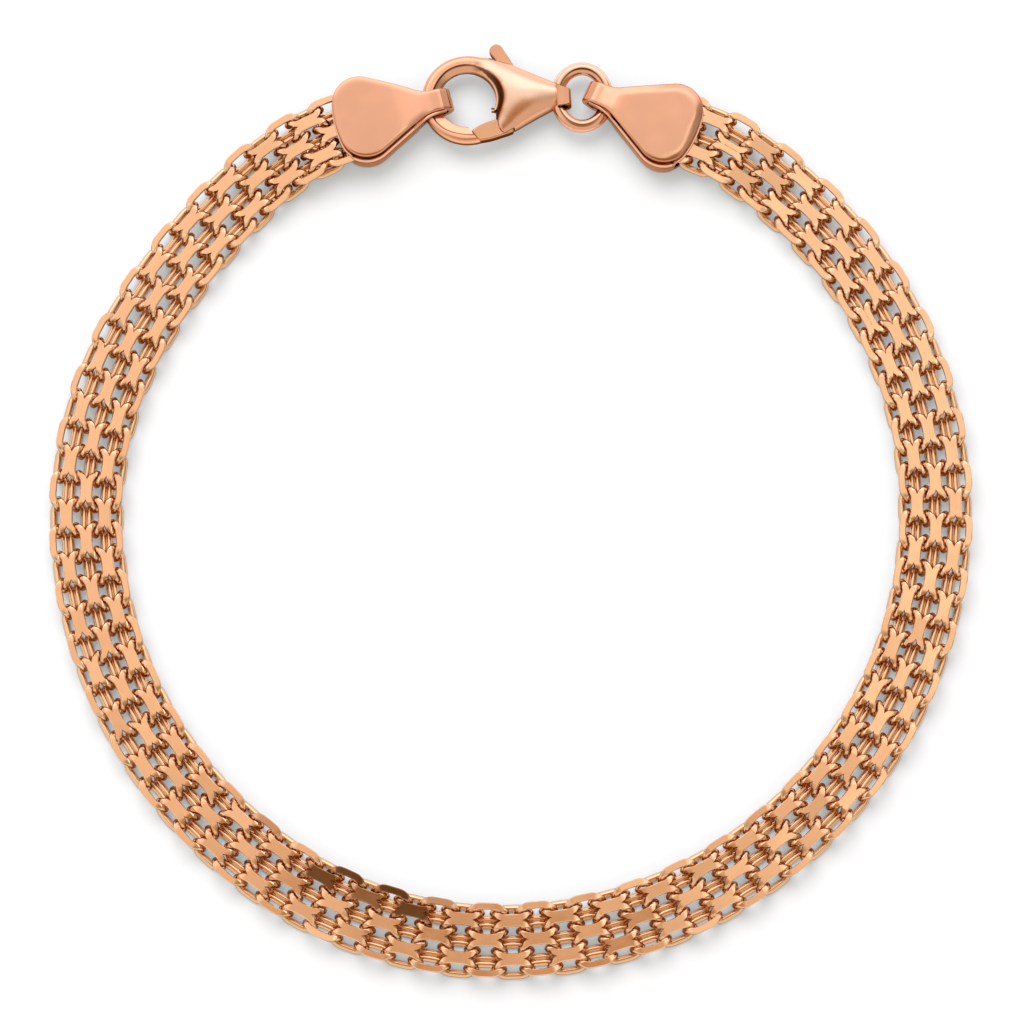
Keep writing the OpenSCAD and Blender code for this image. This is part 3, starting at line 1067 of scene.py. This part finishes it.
# Outlines of the room that the lever needs in the shell, and of the lever from gate to tab and back.
LEVER_ROOM = [
    (0.7, -3.4), (3.01, -3.4), (3.05, -2), (3.65, -1), (4.1, 0.1), (4.5, 1.1), (4.75, 3), (4.2, 3.6),
    (1.6, 3.6), (1.86, 2.75), (2.1, 2.2), (2.24, 1.4), (2.27, 0.6), (2.15, -0.4), (1.95, -0.85),
    (1.3, -0.9), (0.9, -1.2),
]
LEVER_FRONT = [
    (0.13, -2.2), (0.64, -2.95), (1.26, -2.87), (1.7, -2.78), (2.12, -2.66), (2.6, -2.53), (2.97, -2.4),
    (2.98, -2.2), (3.0, -1.8), (3.18, -1.3), (3.24, -0.8), (3.3, 0.8), (3.28, 1.6), (3.24, 2.16),
    (2.95, 2.75),
]
LEVER_BACK = [
    (1.95, 2.78), (2.18, 2.2), (2.32, 1.4), (2.35, 0.6), (2.22, -0.4), (2.2, -0.6), (2.05, -1.15),
    (1.85, -1.52), (1.37, -1.62), (0.85, -1.79), (0.46, -1.99),
]
LEVER = LEVER_FRONT + arc(2.12, 3.3, 0.46, 20, 219, 20) + LEVER_BACK
LEVER_HALF = 0.43
LEVER_EASE = 0.09
ROOM_HALF = 0.5
# Pin's seat in the shell and hole in the lever: play round the pin, half length.
SEAT = (0.01, 0.85)
HOLE = (0.04, 1.2)
# The lever and its room get thinner from the middle to the thumb tab: how much, start and length.
TAPER = 0.28
TAPER_START = -0.2
TAPER_LENGTH = 1.4
# Ends of the coil spring that show in the hook: x and size along one, the two y, height and radius.
SPRING_X = ((1.56, 0.7), (1.58, 1), (2.03, 1), (2.05, 0.7))
SPRING_Y = (-0.6, -0.82)
SPRING_Z = -0.2
SPRING_WIRE = 0.06


def prism(name, outline, half, materials=()):
    """Upright solid of an outline in the clasp's frame, its half height less towards the thumb tab."""
    n = len(outline)
    thin = [1 - TAPER * smooth((y - TAPER_START) / TAPER_LENGTH) for _, y in outline]
    pts = [(x, y, z * t) for z in (-half, half) for (x, y), t in zip(outline, thin)]
    faces = [tuple(range(n - 1, -1, -1)), tuple(range(n, 2 * n))]
    faces += [(i, (i + 1) % n, n + (i + 1) % n, n + i) for i in range(n)]
    return mesh_object(name, put(pts, HOOK, MID_Z), faces, materials)


def pin_cutter(play, half):
    """Round hole for the pin."""
    return prism("pin_cutter", arc(*PIVOT, PIN_R + play, 0, 360, 49)[:-1], half)


def spring_end(y):
    """Round rod with eased ends, all in painted shade."""
    turns = np.linspace(0, math.tau, 16, endpoint=False)
    circle = SPRING_WIRE * np.column_stack([0 * turns, np.cos(turns), np.sin(turns)])
    rings = np.array([circle * size + [x, y, SPRING_Z] for x, size in SPRING_X])
    end = tube_solid("spring_end", rings, cast_gold, HOOK, MID_Z)
    mark(end, np.full(len(end.data.vertices), 0.9))
    return end


def lever_dark(points, normals):
    """Painted shade on the lever's sides, and a little on its thumb tab to make it darker than the gate.
    """
    tab = 0.15 * smooth((points[:, 1] - 1.8) / 0.6)
    return np.maximum(0.7 * (1 - smooth((np.abs(normals[:, 2]) - 0.1) / 0.4)), tab)


def clasp_body():
    """Casting of shell and hook, its bail, and the two ends of the spring."""
    shell = clasp_shell()
    cut(shell, [prism("room", LEVER_ROOM, ROOM_HALF), pin_cutter(*SEAT)])
    mark_by(shell, HOOK, MID_Z, clasp_dark)
    mark_by(shell, HOOK, MID_Z, clasp_soft, "soft")
    strap = bail()
    # The bail gets the lever's painted shade, and at least a little all over.
    mark_by(strap, HOOK, MID_Z, lambda points, normals: np.maximum(lever_dark(points, normals), 0.2))
    return joined("clasp_casting", [shell, strap] + [spring_end(y) for y in SPRING_Y])


def lever():
    """Gate, arm and thumb tab with eased edges."""
    body = prism("lever_gate", LEVER, LEVER_HALF, [lever_gold])
    bevel = body.modifiers.new("ease", "BEVEL")
    bevel.width = LEVER_EASE * MM
    bevel.segments = 3
    bevel.angle_limit = math.radians(50)
    cut(body, [pin_cutter(*HOLE)])
    for face in body.data.polygons:
        face.use_smooth = abs(face.normal.z) < 0.97
    mark_by(body, HOOK, MID_Z, lever_dark)
    return body


casting = clasp_body()
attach(casting, "bracelet")
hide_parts("clasp_body")

gate = lever()
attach(gate, "lever")
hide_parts("clasp_lever")

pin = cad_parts["clasp_pin"]
pin.data.materials.clear()
pin.data.materials.append(pin_gold)


# Jump ring

def ring_dark(points, normals):
    """Painted shade in a line on the ring's crest, just inside it at the back; painted highlight on what
    faces back.
    """
    inward = points[:, 0] * normals[:, 0] + points[:, 1] * normals[:, 1] < 0
    inside = inward & (normals[:, 2] > 0.965) & (normals[:, 2] < 0.99)
    line = np.where(points[:, 1] > 0, inside, normals[:, 2] > 0.99)
    pale = (0.35 + 0.5 * smooth((points[:, 1] + 0.5) / 1.5)) * smooth((normals[:, 1] - 0.12) / 0.25)
    return np.where(line, 1.0, -pale * (normals[:, 2] > 0.2))


def jump_ring():
    """Oval ring of round wire."""
    steps, around = 128, 28
    a = np.linspace(0, math.tau, steps, endpoint=False)
    b = np.linspace(0, math.tau, around, endpoint=False)
    middle = np.stack([RING_A * np.cos(a), RING_B * np.sin(a)], 1)
    out = np.stack([RING_B * np.cos(a), RING_A * np.sin(a)], 1)
    out /= np.linalg.norm(out, axis=1)[:, None]
    flat = middle[:, None] + RING_WIRE * np.cos(b)[None, :, None] * out[:, None]
    z = RING_WIRE * np.sin(b)[None, :] + 0 * a[:, None]
    pts = np.concatenate([flat, z[..., None]], -1)
    faces = grid_faces(steps, around, tube=True, ring=True)
    ring = solid("jump_ring_wire", pts, faces, ring_gold, RING, MID_Z)
    mark_by(ring, RING, MID_Z, ring_dark)
    return ring


ring = jump_ring()
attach(ring, "bracelet")
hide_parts("jump_ring")


# Floor, light and camera

FLOOR_HALF = 2.0
FLOOR_DROP = 2e-5
PAPER = ((0.645, 0.662, 0.662), (0.655, 0.672, 0.672))


def floor():
    """White paper, a hair below the bracelet, lit a little by itself."""
    material, n, shader = new_material("floor_paper")
    place = n.add("ShaderNodeTexCoord").outputs["Object"]
    n.feed_all(shader, {
        "Base Color": n.ramp(n.noise(place, 900, detail=3.0), *PAPER),
        "Roughness": 0.9,
        "Specular IOR Level": 0.1,
        "Emission Color": (0.97, 0.99, 0.99),
        "Emission Strength": 0.3,
    })
    corners = [(x * FLOOR_HALF, y * FLOOR_HALF, 0) for x, y in ((-1, -1), (1, -1), (1, 1), (-1, 1))]
    obj = mesh_object("floor", corners, [(0, 1, 2, 3)], [material])
    obj.location.z = -FLOOR_DROP


floor()


HORIZON = (0.6, 0.59, 0.58)
# Soft boxes of the sky, each laid over the ones before: colour, azimuth and elevation of its middle,
# squeeze of the directions, and the angles from its middle where it starts to fade and is gone.
ALL_ROUND = (1, 1, 1)
SKY = [
    ((0.93, 0.93, 0.94), (0, 90), ALL_ROUND, (62, 80)),
    ((0.62, 0.60, 0.58), (95, 42), ALL_ROUND, (24, 50)),
    ((0.30, 0.26, 0.22), (95, 20), (1, 1, 2.2), (14, 34)),
    ((0.78, 0.75, 0.72), (180, 42), ALL_ROUND, (34, 60)),
    ((1.0, 0.93, 0.98), (0, 12), (0.45, 1, 1), (22, 40)),
    ((1.8, 1.64, 1.8), (0, 50), (0.45, 1, 1), (13, 24)),
    ((0.42, 0.285, 0.13), (180, 78), ALL_ROUND, (15, 25)),
    ((1.22, 1.28, 1.26), (40, 76), ALL_ROUND, (3, 9)),
    ((1.06, 1.03, 0.98), (-40, 76), ALL_ROUND, (3, 9)),
]


def angle_to(n, direction, middle, squeeze):
    """Angle from a soft box's middle, as a share of half a turn."""
    a, e = np.radians(middle)
    aim = Vector((math.sin(a) * math.cos(e), math.cos(a) * math.cos(e), math.sin(e)))
    vector = {"kind": "ShaderNodeVectorMath", "output": "Vector"}
    if squeeze != ALL_ROUND:
        stretched = n.maths("MULTIPLY", direction, squeeze, **vector)
        direction = n.maths("NORMALIZE", stretched, **vector)
        aim = (aim * Vector(squeeze)).normalized()
    cosine = n.maths("DOT_PRODUCT", direction, aim, kind="ShaderNodeVectorMath")
    return n.maths("DIVIDE", n.maths("ARCCOSINE", cosine), math.pi)


def studio():
    """Surroundings as a sky of soft boxes."""
    world = bpy.data.worlds.new("studio")
    bpy.context.scene.world = world
    world.use_nodes = True
    n = Nodes(world.node_tree)
    direction = n.add("ShaderNodeTexCoord").outputs["Generated"]
    sky = HORIZON
    for colour, middle, squeeze, (inner, outer) in SKY:
        angle = angle_to(n, direction, middle, squeeze)
        fade = n.mapped(angle, inner / 180, outer / 180, 1.0, 0.0, interpolation_type="SMOOTHSTEP")
        sky = n.mixed(fade, sky, colour)
    n.feed(world.node_tree.nodes["Background"].inputs["Color"], sky)


studio()


def aimed(name, data, place, target):
    """Light or camera at a place, turned to a target."""
    obj = bpy.data.objects.new(name, data)
    obj.location = place
    obj.rotation_euler = (target - place).to_track_quat("-Z", "Y").to_euler()
    bpy.context.scene.collection.objects.link(obj)
    return obj


def key_light():
    """Wide soft light from above and behind; it shapes the shadow and isn't mirrored in the metal."""
    light = bpy.data.lights.new("key", "AREA")
    light.shape = "DISK"
    light.size = 0.5
    light.energy = 1.55
    aimed("key", light, Vector((-0.12, 0.30, 0.42)), Vector()).visible_glossy = False


key_light()


CAMERA = Vector((0.082, -67.09, 313.71)) * MM
TARGET = Vector((0.082, -0.554, 0.7)) * MM


def photo_camera():
    """Camera fitted to the photo."""
    camera = bpy.data.cameras.new("camera")
    camera.sensor_width = 36
    camera.lens = 170.2
    camera.clip_start = 0.01
    camera.clip_end = 20
    bpy.context.scene.camera = aimed("camera", camera, CAMERA, TARGET)


photo_camera()
bpy.context.scene.view_settings.view_transform = "Standard"
bpy.context.scene.cycles.caustics_reflective = False
